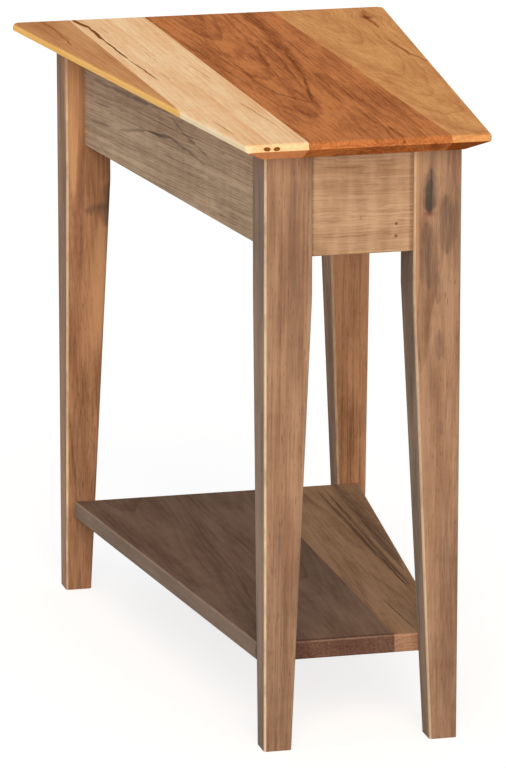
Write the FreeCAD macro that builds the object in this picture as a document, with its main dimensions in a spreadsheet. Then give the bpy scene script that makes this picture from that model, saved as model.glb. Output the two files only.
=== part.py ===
"""Wedge table: a small side table whose top, shelf and frame narrow to the front.

Frame: +Z up, +Y towards the wide back, +X to the right seen from the narrow
front, origin on the floor under the middle of the top. Lengths are millimetres.

Four tapered legs stand under a glued-up top with a bevel beneath its edge. The
end aprons run square between the legs, the side aprons run at the wedge's angle
on shoulders cut square to the legs. Glue blocks, steel clips and screws are out
of sight inside the aprons, and dowels carry the shelf between the legs.
"""
import FreeCAD, Part
import math
import os
import Sketcher

SIZES = [
    # whole table
    ("table_height", "610", "floor to the top's upper face"),
    # top
    ("top_depth", "700", "narrow front edge to wide back edge"),
    ("top_front_width", "242", "top along its front edge"),
    ("top_back_width", "412", "top along its back edge"),
    ("top_thickness", "19", "boards of the top"),
    ("top_band", "7", "upright edge above the under-bevel"),
    ("top_bevel_inset", "24", "under-bevel, measured inward from the edge"),
    ("top_corner_radius", "9", "corners of the top in plan"),
    ("top_edge_ease", "4", "rounded upper arris of the top"),
    ("top_left_joint", "143", "left glue joint, left of the centre line"),
    ("top_centre_joint", "60.5", "middle glue joint, left of the centre line"),
    ("top_right_joint", "81", "right glue joint, right of the centre line"),
    # legs
    ("front_overhang", "24", "top's front edge to the front legs"),
    ("back_overhang", "50", "top's back edge to the back legs"),
    ("front_leg_spread", "196", "over both front legs"),
    ("back_leg_spread", "334", "over both back legs"),
    ("leg_section", "48", "square upper part of a leg"),
    ("leg_foot", "28", "square foot of a leg"),
    ("leg_square_length", "136", "length of the square part, from the top"),
    ("leg_edge_ease", "3", "rounded long edges of a leg"),
    # aprons and their joints
    ("apron_height", "98", "height of all four aprons"),
    ("apron_thickness", "19", "thickness of all four aprons"),
    ("apron_edge_ease", "1.5", "rounded lower edges of an apron"),
    ("end_apron_setback", "3", "front and back aprons, behind the leg faces"),
    ("side_apron_front_setin", "12", "side apron inside the front leg's outer face"),
    ("side_apron_back_setin", "20", "side apron inside the back leg's outer face"),
    ("tenon_length", "20", "tenon from its shoulder"),
    ("tenon_thickness", "8", "tenon across the apron"),
    ("tenon_groove_gap", "3", "clips' groove down to the tenon's upper edge"),
    ("tenon_bottom_shoulder", "8", "apron's lower edge to the tenon"),
    ("mortise_spare_depth", "1", "room for glue at the mortise's bottom"),
    ("joint_clearance", "0.1", "round a tenon, a dowel or a screw in its hole"),
    ("clip_groove_drop", "12", "apron's upper edge to the clips' groove"),
    ("clip_groove_play", "1", "room for a clip's tongue in its groove"),
    # shelf
    ("shelf_height", "100", "floor to the shelf's upper face"),
    ("shelf_thickness", "18", "boards of the shelf"),
    ("shelf_edge_ease", "2", "rounded edges of the shelf"),
    ("shelf_front_inset", "4", "shelf's corner inside the front leg's outer face"),
    ("shelf_back_inset", "8.5", "shelf's corner inside the back leg's outer face"),
    ("shelf_left_joint", "42.5", "left glue joint, left of the centre line"),
    ("shelf_right_joint", "42.5", "right glue joint, right of the centre line"),
    ("dowel_diameter", "10", "dowel between shelf and leg"),
    ("dowel_length", "40", "dowel, end to end"),
    ("dowel_in_leg", "16", "dowel's length inside the leg"),
    ("dowel_chamfer", "1", "bevelled ends of a dowel"),
    # glue blocks between the legs and the end aprons
    ("block_height", "56", "glue block, top to bottom"),
    ("block_drop", "30", "apron's upper edge to the glue block"),
    ("block_length", "28", "glue block along the end apron"),
    ("block_nose", "7", "squared-off thin ends of a glue block"),
    # clips and screws
    ("clip_width", "19", "clip along the apron"),
    ("clip_metal", "2", "sheet that the clip is bent from"),
    ("clip_tongue", "8", "part of the clip inside the groove"),
    ("clip_reach", "24", "clip from the apron's face to its end"),
    ("clip_face_gap", "0.3", "clip's upright clear of the apron"),
    ("clip_screw_offset", "14", "screw from the apron's face"),
    ("screw_diameter", "4", "shank of a clip's screw"),
    ("screw_head_diameter", "8", "widest part of the screw's head"),
    ("screw_head_height", "2.6", "head of the screw"),
    ("screw_length", "15", "screw under its head, through clip and into top"),
    # cuts
    ("cut_overrun", "5", "how far a cut runs past the face it opens"),
]

# Places of the clips along a side apron
SIDE_CLIP_SHARES = (0.2, 0.8)
# Flat crown of a screw's head, of its widest part
HEAD_CROWN_SHARE = 0.55
# Tests on edges: how steep an upright one is, how flat a level one is
UPRIGHT_MIN_SHARE = 0.95
LEVEL_MAX_SHARE = 0.01

# Places in the table's frame, worked out from the sheet
FRONT_HALF = "Sizes.front_leg_spread / 2"
BACK_HALF = "Sizes.back_leg_spread / 2"
TOP_FRONT = "-Sizes.top_depth / 2"
TOP_BACK = "Sizes.top_depth / 2"
FRAME_FRONT = f"({TOP_FRONT} + Sizes.front_overhang)"
FRAME_BACK = f"({TOP_BACK} - Sizes.back_overhang)"
UNDERSIDE = "(Sizes.table_height - Sizes.top_thickness)"
TAPER_TOP = f"({UNDERSIDE} - Sizes.leg_square_length)"
APRON_BOTTOM = f"({UNDERSIDE} - Sizes.apron_height)"
TENON_BOTTOM = f"({APRON_BOTTOM} + Sizes.tenon_bottom_shoulder)"
GROOVE_WIDTH = "(Sizes.clip_metal + Sizes.clip_groove_play)"
GROOVE_DEPTH = "(Sizes.clip_tongue + Sizes.clip_groove_play)"
GROOVE_BOTTOM = f"({UNDERSIDE} - Sizes.clip_groove_drop - {GROOVE_WIDTH})"
TENON_HEIGHT = f"({GROOVE_BOTTOM} - Sizes.tenon_groove_gap - {TENON_BOTTOM})"
MORTISE_DEPTH = "(Sizes.tenon_length + Sizes.mortise_spare_depth)"

# Slant of the top's side edges, as a rise of half width along the depth
TOP_SLANT = "((Sizes.top_back_width - Sizes.top_front_width) / 2 / Sizes.top_depth)"

# Tenon's cheek behind the end apron's outer face
END_CHEEK = "(Sizes.apron_thickness - Sizes.tenon_thickness) / 2"

# Right side apron: its shoulders lie on the legs' faces
SHOULDER_FRONT = f"({FRAME_FRONT} + Sizes.leg_section)"
SHOULDER_BACK = f"({FRAME_BACK} - Sizes.leg_section)"
SIDE_FRONT_X = f"({FRONT_HALF} - Sizes.side_apron_front_setin)"
SIDE_BACK_X = f"({BACK_HALF} - Sizes.side_apron_back_setin)"
SIDE_SLANT = f"(({SIDE_BACK_X} - {SIDE_FRONT_X}) / ({SHOULDER_BACK} - {SHOULDER_FRONT}))"
SLANT_FACTOR = f"hypot(1; {SIDE_SLANT})"
SIDE_ACROSS = f"(Sizes.apron_thickness * {SLANT_FACTOR})"
SIDE_CHEEK = f"(({SIDE_ACROSS} - Sizes.tenon_thickness) / 2)"

# Inner faces of the end aprons
FRONT_INNER = f"({FRAME_FRONT} + Sizes.end_apron_setback + Sizes.apron_thickness)"
BACK_INNER = f"({FRAME_BACK} - Sizes.end_apron_setback - Sizes.apron_thickness)"

# Shelf: its ends are bevelled to lie flat against the legs' tapered faces
SHELF_BOTTOM = "(Sizes.shelf_height - Sizes.shelf_thickness)"
SHELF_MIDDLE = "(Sizes.shelf_height - Sizes.shelf_thickness / 2)"


def leg_width_at(height):
    """Width of the tapered part of a leg at a height over the floor."""
    gain = "(Sizes.leg_section - Sizes.leg_foot)"
    return f"(Sizes.leg_foot + {gain} * {height} / {TAPER_TOP})"


SHELF_FRONT = f"({FRAME_FRONT} + {leg_width_at(SHELF_MIDDLE)})"
SHELF_BACK = f"({FRAME_BACK} - {leg_width_at(SHELF_MIDDLE)})"
SHELF_FRONT_HALF = f"({FRONT_HALF} - Sizes.shelf_front_inset)"
SHELF_BACK_HALF = f"({BACK_HALF} - Sizes.shelf_back_inset)"
FRONT_DOWEL_X = f"({SHELF_FRONT_HALF} + {FRONT_HALF} - {leg_width_at(SHELF_MIDDLE)}) / 2"
BACK_DOWEL_X = f"({SHELF_BACK_HALF} + {BACK_HALF} - {leg_width_at(SHELF_MIDDLE)}) / 2"

# Holes for screws and dowels
PILOT_RADIUS = "(Sizes.screw_diameter / 2 + Sizes.joint_clearance)"
DOWEL_HOLE_RADIUS = "(Sizes.dowel_diameter / 2 + Sizes.joint_clearance)"

BLOCK_BOTTOM = f"({UNDERSIDE} - Sizes.block_drop - Sizes.block_height)"

doc = FreeCAD.newDocument("WedgeTable")
sheet = doc.addObject("Spreadsheet::Sheet", "Sizes")
for row, (alias, number, meaning) in enumerate(SIZES, start=1):
    sheet.set(f"A{row}", meaning)
    sheet.set(f"B{row}", number)
    sheet.setAlias(f"B{row}", alias)
doc.recompute()

sub_parts = []


def value(expression):
    """Number that an expression of the sheet's cells gives."""
    return float(sheet.evalExpression(expression))


def sub_part(feature, label):
    """Name a finished piece and keep it for export."""
    feature.Label = label
    sub_parts.append(feature)
    return feature


def new_body(name):
    return doc.addObject("PartDesign::Body", name)


def new_sketch(body, name, plane_role, offset=None):
    """Sketch on one of the body's own origin planes, moved along its normal."""
    sketch = body.newObject("Sketcher::SketchObject", name)
    plane = next(p for p in body.Origin.OriginFeatures if p.Role == plane_role)
    sketch.AttachmentSupport = [(plane, "")]
    sketch.MapMode = "FlatFace"
    if offset:
        sketch.setExpression("AttachmentOffset.Base.z", offset)
    return sketch


def bind(sketch, kind, references, expression):
    """Add a constraint whose size follows an expression."""
    index = sketch.addConstraint(Sketcher.Constraint(kind, *references, value(expression)))
    sketch.setExpression(f"Constraints[{index}]", expression)


def draw_outline(sketch, corners):
    """Closed outline of straight lines through corners given as expressions."""
    first = sketch.GeometryCount
    points = [FreeCAD.Vector(value(x), value(y), 0) for x, y in corners]
    count = len(corners)
    for i, start in enumerate(points):
        sketch.addGeometry(Part.LineSegment(start, points[(i + 1) % count]), False)
    for i, (x, y) in enumerate(corners):
        line = first + i
        sketch.addConstraint(
            Sketcher.Constraint("Coincident", line, 2, first + (i + 1) % count, 1))
        bind(sketch, "DistanceX", (-1, 1, line, 1), x)
        bind(sketch, "DistanceY", (-1, 1, line, 1), y)


def draw_circle(sketch, centre, radius):
    """Circle with its centre and radius given as expressions."""
    circle = sketch.GeometryCount
    middle = FreeCAD.Vector(value(centre[0]), value(centre[1]), 0)
    axis = FreeCAD.Vector(0, 0, 1)
    sketch.addGeometry(Part.Circle(middle, axis, value(radius)), False)
    bind(sketch, "DistanceX", (-1, 1, circle, 3), centre[0])
    bind(sketch, "DistanceY", (-1, 1, circle, 3), centre[1])
    bind(sketch, "Radius", (circle,), radius)


def rectangle(x_near, y_near, x_far, y_far):
    return [(x_near, y_near), (x_far, y_near), (x_far, y_far), (x_near, y_far)]


def draw_rounded_square(sketch, corner, width, radius):
    """Square inward from a leg's outer corner, with all four corners rounded."""
    near = radius
    far = f"{width} - {radius}"
    turns = (180, 270, 0, 90)
    if corner.towards_back:
        centres = [(far, near), (near, near), (near, far), (far, far)]
    else:
        centres = [(far, far), (near, far), (near, near), (far, near)]
    size = value(radius)
    arcs = []
    for (step_x, step_y), turn in zip(centres, turns):
        x = corner.x(step_x)
        y = corner.y(step_y)
        middle = FreeCAD.Vector(value(x), value(y), 0)
        circle = Part.Circle(middle, FreeCAD.Vector(0, 0, 1), size)
        start = math.radians(turn)
        arc = sketch.addGeometry(Part.ArcOfCircle(circle, start, start + math.pi / 2), False)
        bind(sketch, "DistanceX", (-1, 1, arc, 3), x)
        bind(sketch, "DistanceY", (-1, 1, arc, 3), y)
        bind(sketch, "Radius", (arc,), radius)
        arcs.append(arc)
    for arc, following in zip(arcs, arcs[1:] + arcs[:1]):
        start = sketch.getPoint(arc, 2)
        end = sketch.getPoint(following, 1)
        line = sketch.addGeometry(Part.LineSegment(start, end), False)
        sketch.addConstraint(Sketcher.Constraint("Tangent", arc, 2, line, 1))
        sketch.addConstraint(Sketcher.Constraint("Tangent", line, 2, following, 1))


def add_pad(body, sketch, name, length, symmetric=False):
    pad = body.newObject("PartDesign::Pad", name)
    pad.Profile = sketch
    pad.SideType = "Symmetric" if symmetric else "One side"
    pad.setExpression("Length", length)
    doc.recompute()


def add_pocket(body, sketch, name, length, backwards=False):
    """Cut into the body, against the sketch's normal or backwards along it."""
    before = body.Shape.Volume
    pocket = body.newObject("PartDesign::Pocket", name)
    pocket.Profile = sketch
    pocket.Reversed = backwards
    pocket.setExpression("Length", length)
    doc.recompute()
    if not body.Shape.Volume < before:
        raise RuntimeError(f"{body.Name}.{name} removes nothing")


def ease_edges(body, name, radius, chosen):
    """Round the edges of the body that a test on the edge chooses."""
    tip = body.Tip
    names = [f"Edge{i}" for i, edge in enumerate(tip.Shape.Edges, start=1) if chosen(edge)]
    fillet = body.newObject("PartDesign::Fillet", name)
    fillet.Base = (tip, names)
    fillet.setExpression("Radius", radius)
    doc.recompute()


def is_upright(edge):
    """Edge that runs up, or nearly so as on a taper."""
    return abs(edge.tangentAt(edge.FirstParameter).z) > UPRIGHT_MIN_SHARE


def is_lengthwise(edge):
    """Edge that runs along the table's depth rather than across it."""
    return edge.BoundBox.YLength > edge.BoundBox.XLength


def is_level_at(height):
    """Test for the edges that lie level at one height."""
    level = value(height)
    slack = value("Sizes.top_thickness") * LEVEL_MAX_SHARE

    def test(edge):
        box = edge.BoundBox
        return abs(box.ZMin - level) < slack and abs(box.ZMax - level) < slack
    return test


def mirrored(source, label):
    """The left-hand twin of a right-hand piece."""
    twin = doc.addObject("Part::Mirroring", f"Twin_{label}")
    twin.Source = source
    twin.Normal = FreeCAD.Vector(1, 0, 0)
    sub_part(twin, label)


def block_between(name, left, right):
    """Tall box over the whole depth between two places across the table."""
    box = doc.addObject("Part::Box", name)
    box.setExpression("Length", f"{right} - ({left})")
    box.setExpression("Width", "Sizes.top_depth + 2 * Sizes.cut_overrun")
    box.setExpression("Height", "Sizes.table_height + 2 * Sizes.cut_overrun")
    box.setExpression("Placement.Base.x", left)
    box.setExpression("Placement.Base.y", f"{TOP_FRONT} - Sizes.cut_overrun")
    box.setExpression("Placement.Base.z", "-Sizes.cut_overrun")
    return box


def saw_into_boards(panel_forms, places, labels):
    """Boards of a glued-up panel: what each width of the panel holds."""
    for label, left, right in zip(labels, places, places[1:]):
        board = doc.addObject("Part::MultiCommon", f"Board_{label}")
        board.Shapes = panel_forms + [block_between(f"Width_{label}", left, right)]
        sub_part(board, label)


class Corner:
    """Outer corner of a right-hand leg, with steps measured inward from it."""

    def __init__(self, outer_x, outer_y, towards_back):
        self.outer_x = outer_x
        self.outer_y = outer_y
        self.towards_back = towards_back

    def x(self, step):
        return f"{self.outer_x} - ({step})"

    def y(self, step):
        sign = "+" if self.towards_back else "-"
        return f"{self.outer_y} {sign} ({step})"


def block_outline(corner):
    """Plan of a right-hand glue block, in the nook of a leg and the end apron."""
    away = "+" if corner.towards_back else "-"
    leg_x = f"({corner.x('Sizes.leg_section')})"
    end_x = f"({leg_x} - Sizes.block_length)"
    face_y = f"({corner.y('Sizes.end_apron_setback + Sizes.apron_thickness')})"
    edge_y = f"({corner.y('Sizes.leg_section - Sizes.leg_edge_ease')})"
    return [(leg_x, face_y), (leg_x, edge_y),
            (f"{leg_x} - Sizes.block_nose", edge_y),
            (end_x, f"{face_y} {away} Sizes.block_nose"), (end_x, face_y)]


FRONT_CORNER = Corner(FRONT_HALF, FRAME_FRONT, True)
BACK_CORNER = Corner(BACK_HALF, FRAME_BACK, False)


# Clips under the top: place across, place along the depth, turn about +Z
def side_clip_place(share):
    """Middle of a clip on the right side apron's inner face."""
    along = f"({SHOULDER_FRONT} + {share} * ({SHOULDER_BACK} - {SHOULDER_FRONT}))"
    across = f"({SIDE_FRONT_X} - {SIDE_ACROSS} + {SIDE_SLANT} * ({along} - {SHOULDER_FRONT}))"
    return across, along


def clip_places():
    """Place and heading of each clip, its heading from the apron inward."""
    places = [("0", FRONT_INNER, "90 deg"), ("0", BACK_INNER, "-90 deg")]
    for share in SIDE_CLIP_SHARES:
        across, along = side_clip_place(share)
        places.append((across, along, f"180 deg - atan({SIDE_SLANT})"))
        places.append((f"-{across}", along, f"atan({SIDE_SLANT})"))
    return places


def clip_screw_centre(place):
    """Centre of a clip's screw, a step along the clip's heading."""
    across, along, heading = place
    return (f"{across} + Sizes.clip_screw_offset * cos({heading})",
            f"{along} + Sizes.clip_screw_offset * sin({heading})")


def top_outline(inset):
    """Trapezoid of the top, drawn in by an inset square to every edge."""
    pinch = f"{inset} * hypot(1; {TOP_SLANT})"
    front_half = f"(Sizes.top_front_width / 2 + {TOP_SLANT} * {inset} - {pinch})"
    back_half = f"(Sizes.top_back_width / 2 - {TOP_SLANT} * {inset} - {pinch})"
    front = f"{TOP_FRONT} + {inset}"
    back = f"{TOP_BACK} - {inset}"
    return [(f"-{front_half}", front), (front_half, front),
            (back_half, back), (f"-{back_half}", back)]


def make_top():
    """Panel with an under-bevel and rounded corners, sawn into its boards."""
    bevelled = new_body("TopBevelled")
    seat = new_sketch(bevelled, "UndersideOutline", "XY_Plane", UNDERSIDE)
    draw_outline(seat, top_outline("Sizes.top_bevel_inset"))
    band_bottom = "Sizes.table_height - Sizes.top_band"
    edge = new_sketch(bevelled, "EdgeOutline", "XY_Plane", band_bottom)
    draw_outline(edge, top_outline("0"))
    bevel = bevelled.newObject("PartDesign::AdditiveLoft", "UnderBevel")
    bevel.Profile = seat
    bevel.Sections = [edge]
    bevel.Ruled = True
    doc.recompute()
    add_pad(bevelled, edge, "Band", "Sizes.top_band")
    pilots = new_sketch(bevelled, "ClipScrewHoles", "XY_Plane", UNDERSIDE)
    for place in clip_places():
        draw_circle(pilots, clip_screw_centre(place), PILOT_RADIUS)
    depth = "Sizes.screw_length - Sizes.clip_metal + Sizes.joint_clearance"
    add_pocket(bevelled, pilots, "ClipScrewPilots", depth, backwards=True)

    rounded = new_body("TopRounded")
    outline = new_sketch(rounded, "Outline", "XY_Plane", UNDERSIDE)
    draw_outline(outline, top_outline("0"))
    add_pad(rounded, outline, "Slab", "Sizes.top_thickness")
    ease_edges(rounded, "Corners", "Sizes.top_corner_radius", is_upright)
    ease_edges(rounded, "Arris", "Sizes.top_edge_ease", is_level_at("Sizes.table_height"))

    beyond = "Sizes.top_back_width / 2 + Sizes.cut_overrun"
    places = [f"-({beyond})", "-Sizes.top_left_joint", "-Sizes.top_centre_joint",
              "Sizes.top_right_joint", beyond]
    labels = ["top_board_left", "top_board_centre_left",
              "top_board_centre_right", "top_board_right"]
    saw_into_boards([bevelled, rounded], places, labels)


def cut_mortise(body, name, corners):
    """Mortise with the tenons' height, from its outline in plan."""
    plan = new_sketch(body, f"{name}Plan", "XY_Plane",
                      f"{TENON_BOTTOM} - Sizes.joint_clearance")
    draw_outline(plan, corners)
    add_pocket(body, plan, name, f"{TENON_HEIGHT} + 2 * Sizes.joint_clearance",
               backwards=True)


def make_leg(body_name, label, corner, side_setin, dowel_x):
    """Square leg, tapered on its two inner faces, mortised for two aprons."""
    body = new_body(body_name)
    foot = new_sketch(body, "Foot", "XY_Plane")
    draw_rounded_square(foot, corner, "Sizes.leg_foot", "Sizes.leg_edge_ease")
    section = new_sketch(body, "Section", "XY_Plane", TAPER_TOP)
    draw_rounded_square(section, corner, "Sizes.leg_section", "Sizes.leg_edge_ease")
    taper = body.newObject("PartDesign::AdditiveLoft", "Taper")
    taper.Profile = foot
    taper.Sections = [section]
    taper.Ruled = True
    doc.recompute()
    add_pad(body, section, "SquarePart", "Sizes.leg_square_length")

    # End apron's mortise, in the face towards the other leg of the pair
    cheek = f"Sizes.end_apron_setback + {END_CHEEK}"
    cut_mortise(body, "EndMortise", rectangle(
        corner.x("Sizes.leg_section + Sizes.cut_overrun"),
        corner.y(f"{cheek} - Sizes.joint_clearance"),
        corner.x(f"Sizes.leg_section - {MORTISE_DEPTH}"),
        corner.y(f"{cheek} + Sizes.tenon_thickness + Sizes.joint_clearance")))
    # Side apron's mortise, square to the leg although the apron slants
    cheek = f"{side_setin} + {SIDE_CHEEK}"
    cut_mortise(body, "SideMortise", rectangle(
        corner.x(f"{cheek} - Sizes.joint_clearance"),
        corner.y("Sizes.leg_section + Sizes.cut_overrun"),
        corner.x(f"{cheek} + Sizes.tenon_thickness + Sizes.joint_clearance"),
        corner.y(f"Sizes.leg_section - {MORTISE_DEPTH}")))

    # Hole for the shelf's dowel, from its bottom out through the tapered face
    bottom = f"{leg_width_at(SHELF_MIDDLE)} - Sizes.dowel_in_leg - Sizes.joint_clearance"
    hole = new_sketch(body, "DowelHole", "XZ_Plane", f"-({corner.y(bottom)})")
    draw_circle(hole, (dowel_x, SHELF_MIDDLE), DOWEL_HOLE_RADIUS)
    add_pocket(body, hole, "DowelBore", "Sizes.leg_section", not corner.towards_back)
    return sub_part(body, label)


def add_tenon(body, name, corners):
    plan = new_sketch(body, f"{name}Plan", "XY_Plane", TENON_BOTTOM)
    draw_outline(plan, corners)
    add_pad(body, plan, name, TENON_HEIGHT)


def cut_clip_groove(body, corners):
    """Groove along an apron's inner face that takes the clips' tongues."""
    plan = new_sketch(body, "GroovePlan", "XY_Plane", GROOVE_BOTTOM)
    draw_outline(plan, corners)
    add_pocket(body, plan, "ClipGroove", GROOVE_WIDTH, backwards=True)


def make_end_apron(body_name, label, corner):
    """Front or back apron, square between its legs, with a tenon each end."""
    body = new_body(body_name)
    shoulder = f"({corner.x('Sizes.leg_section')})"
    outer = corner.y("Sizes.end_apron_setback")
    inner = corner.y("Sizes.end_apron_setback + Sizes.apron_thickness")
    outline = new_sketch(body, "Outline", "XY_Plane", APRON_BOTTOM)
    draw_outline(outline, rectangle(f"-{shoulder}", outer, shoulder, inner))
    add_pad(body, outline, "Board", "Sizes.apron_height")
    ease_edges(body, "LowerEdges", "Sizes.apron_edge_ease",
               lambda edge: is_level_at(APRON_BOTTOM)(edge) and not is_lengthwise(edge))
    cheek = f"Sizes.end_apron_setback + {END_CHEEK}"
    near_cheek = corner.y(cheek)
    far_cheek = corner.y(f"{cheek} + Sizes.tenon_thickness")
    tip = f"({shoulder} + Sizes.tenon_length)"
    add_tenon(body, "RightTenon", rectangle(shoulder, near_cheek, tip, far_cheek))
    add_tenon(body, "LeftTenon", rectangle(f"-{shoulder}", near_cheek, f"-{tip}", far_cheek))
    depth = "Sizes.end_apron_setback + Sizes.apron_thickness"
    cut_clip_groove(body, rectangle(
        f"-{shoulder}", corner.y(f"{depth} - {GROOVE_DEPTH}"),
        shoulder, corner.y(f"{depth} + Sizes.cut_overrun")))
    sub_part(body, label)


def make_side_apron():
    """Right side apron at the wedge's angle, with shoulders square to the legs."""
    body = new_body("SideApron")
    inner_front_x = f"({SIDE_FRONT_X} - {SIDE_ACROSS})"
    inner_back_x = f"({SIDE_BACK_X} - {SIDE_ACROSS})"
    outline = new_sketch(body, "Outline", "XY_Plane", APRON_BOTTOM)
    draw_outline(outline, [(SIDE_FRONT_X, SHOULDER_FRONT), (SIDE_BACK_X, SHOULDER_BACK),
                           (inner_back_x, SHOULDER_BACK), (inner_front_x, SHOULDER_FRONT)])
    add_pad(body, outline, "Board", "Sizes.apron_height")
    ease_edges(body, "LowerEdges", "Sizes.apron_edge_ease",
               lambda edge: is_level_at(APRON_BOTTOM)(edge) and is_lengthwise(edge))
    add_tenon(body, "FrontTenon", rectangle(
        f"{SIDE_FRONT_X} - {SIDE_CHEEK}", SHOULDER_FRONT,
        f"{SIDE_FRONT_X} - {SIDE_CHEEK} - Sizes.tenon_thickness",
        f"{SHOULDER_FRONT} - Sizes.tenon_length"))
    add_tenon(body, "BackTenon", rectangle(
        f"{SIDE_BACK_X} - {SIDE_CHEEK}", SHOULDER_BACK,
        f"{SIDE_BACK_X} - {SIDE_CHEEK} - Sizes.tenon_thickness",
        f"{SHOULDER_BACK} + Sizes.tenon_length"))
    depth = f"{GROOVE_DEPTH} * {SLANT_FACTOR}"
    cut_clip_groove(body, [(f"{inner_front_x} + {depth}", SHOULDER_FRONT),
                           (f"{inner_back_x} + {depth}", SHOULDER_BACK),
                           (f"{inner_back_x} - Sizes.cut_overrun", SHOULDER_BACK),
                           (f"{inner_front_x} - Sizes.cut_overrun", SHOULDER_FRONT)])
    return sub_part(body, "right_apron")


def make_glue_block(body_name, label, corner):
    """Bevelled block glued in the nook of a leg and the end apron."""
    body = new_body(body_name)
    plan = new_sketch(body, "Plan", "XY_Plane", BLOCK_BOTTOM)
    draw_outline(plan, block_outline(corner))
    add_pad(body, plan, "Block", "Sizes.block_height")
    return sub_part(body, label)


def make_shelf():
    """Panel between the legs, doweled at each corner, sawn into its boards."""
    plan = new_body("ShelfPlan")
    outline = new_sketch(plan, "Outline", "XY_Plane", SHELF_BOTTOM)
    draw_outline(outline, [(f"-{SHELF_FRONT_HALF}", f"{SHELF_FRONT} - Sizes.cut_overrun"),
                           (SHELF_FRONT_HALF, f"{SHELF_FRONT} - Sizes.cut_overrun"),
                           (SHELF_BACK_HALF, f"{SHELF_BACK} + Sizes.cut_overrun"),
                           (f"-{SHELF_BACK_HALF}", f"{SHELF_BACK} + Sizes.cut_overrun")])
    add_pad(plan, outline, "Slab", "Sizes.shelf_thickness")
    ease_edges(plan, "UpperSideEdges", "Sizes.shelf_edge_ease",
               lambda edge: is_level_at("Sizes.shelf_height")(edge) and is_lengthwise(edge))
    ease_edges(plan, "LowerSideEdges", "Sizes.shelf_edge_ease / 2",
               lambda edge: is_level_at(SHELF_BOTTOM)(edge) and is_lengthwise(edge))

    profile = new_body("ShelfProfile")
    side = new_sketch(profile, "SideView", "YZ_Plane")
    top_width = leg_width_at("Sizes.shelf_height")
    bottom_width = leg_width_at(SHELF_BOTTOM)
    draw_outline(side, [(f"{FRAME_FRONT} + {bottom_width}", SHELF_BOTTOM),
                        (f"{FRAME_BACK} - {bottom_width}", SHELF_BOTTOM),
                        (f"{FRAME_BACK} - {top_width}", "Sizes.shelf_height"),
                        (f"{FRAME_FRONT} + {top_width}", "Sizes.shelf_height")])
    add_pad(profile, side, "Slab", "Sizes.back_leg_spread", symmetric=True)
    ease_edges(profile, "UpperEndEdges", "Sizes.shelf_edge_ease",
               lambda edge: is_level_at("Sizes.shelf_height")(edge) and not is_lengthwise(edge))
    ease_edges(profile, "LowerEndEdges", "Sizes.shelf_edge_ease / 2",
               lambda edge: is_level_at(SHELF_BOTTOM)(edge) and not is_lengthwise(edge))
    in_shelf = "(Sizes.dowel_length - Sizes.dowel_in_leg + Sizes.joint_clearance)"
    for name, x, edge, inward, backwards in (
            ("Front", FRONT_DOWEL_X, SHELF_FRONT, f"+ {in_shelf}", True),
            ("Back", BACK_DOWEL_X, SHELF_BACK, f"- {in_shelf}", False)):
        holes = new_sketch(profile, f"{name}DowelHoles", "XZ_Plane", f"-({edge} {inward})")
        draw_circle(holes, (x, SHELF_MIDDLE), DOWEL_HOLE_RADIUS)
        draw_circle(holes, (f"-({x})", SHELF_MIDDLE), DOWEL_HOLE_RADIUS)
        add_pocket(profile, holes, f"{name}DowelBores", f"{in_shelf} + Sizes.cut_overrun",
                   backwards)
    beyond = "Sizes.back_leg_spread / 2"
    places = [f"-{beyond}", "-Sizes.shelf_left_joint", "Sizes.shelf_right_joint", beyond]
    labels = ["shelf_board_left", "shelf_board_centre", "shelf_board_right"]
    saw_into_boards([plan, profile], places, labels)


def turned(body_name, profile):
    """Round piece turned about its own Z axis from half a profile."""
    body = new_body(body_name)
    sketch = new_sketch(body, "HalfProfile", "XZ_Plane")
    draw_outline(sketch, profile)
    turning = body.newObject("PartDesign::Revolution", "Turning")
    turning.Profile = sketch
    turning.ReferenceAxis = (sketch, ["V_Axis"])
    doc.recompute()
    return body


def screw_profile():
    """Screw with a low domed head below its seat and its blunt end up."""
    head = "Sizes.screw_head_diameter / 2"
    shank = "Sizes.screw_diameter / 2"
    return [("0", "-Sizes.screw_head_height"),
            (f"{HEAD_CROWN_SHARE} * {head}", "-Sizes.screw_head_height"),
            (head, "0"), (shank, "0"), (shank, "Sizes.screw_length"),
            ("0", "Sizes.screw_length")]


def dowel_profile():
    radius = "Sizes.dowel_diameter / 2"
    narrow = f"{radius} - Sizes.dowel_chamfer"
    return [("0", "0"), (narrow, "0"), (radius, "Sizes.dowel_chamfer"),
            (radius, "Sizes.dowel_length - Sizes.dowel_chamfer"),
            (narrow, "Sizes.dowel_length"), ("0", "Sizes.dowel_length")]


def placed_group(label, source, places):
    """One node of like pieces: copies of a source at places with a turn each."""
    copies = []
    for number, (x, y, z, axis, angle) in enumerate(places, start=1):
        copy = doc.addObject("App::Link", f"{source.Name}_{number}")
        copy.LinkedObject = source
        copy.Placement = FreeCAD.Placement(FreeCAD.Vector(), FreeCAD.Rotation(axis, 1))
        copy.setExpression("Placement.Rotation.Angle", angle)
        copy.setExpression("Placement.Base.x", x)
        copy.setExpression("Placement.Base.y", y)
        copy.setExpression("Placement.Base.z", z)
        copies.append(copy)
    group = doc.addObject("Part::Compound", f"Group_{label}")
    group.Links = copies
    sub_part(group, label)


ABOUT_X = FreeCAD.Vector(1, 0, 0)
ABOUT_Z = FreeCAD.Vector(0, 0, 1)


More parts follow.
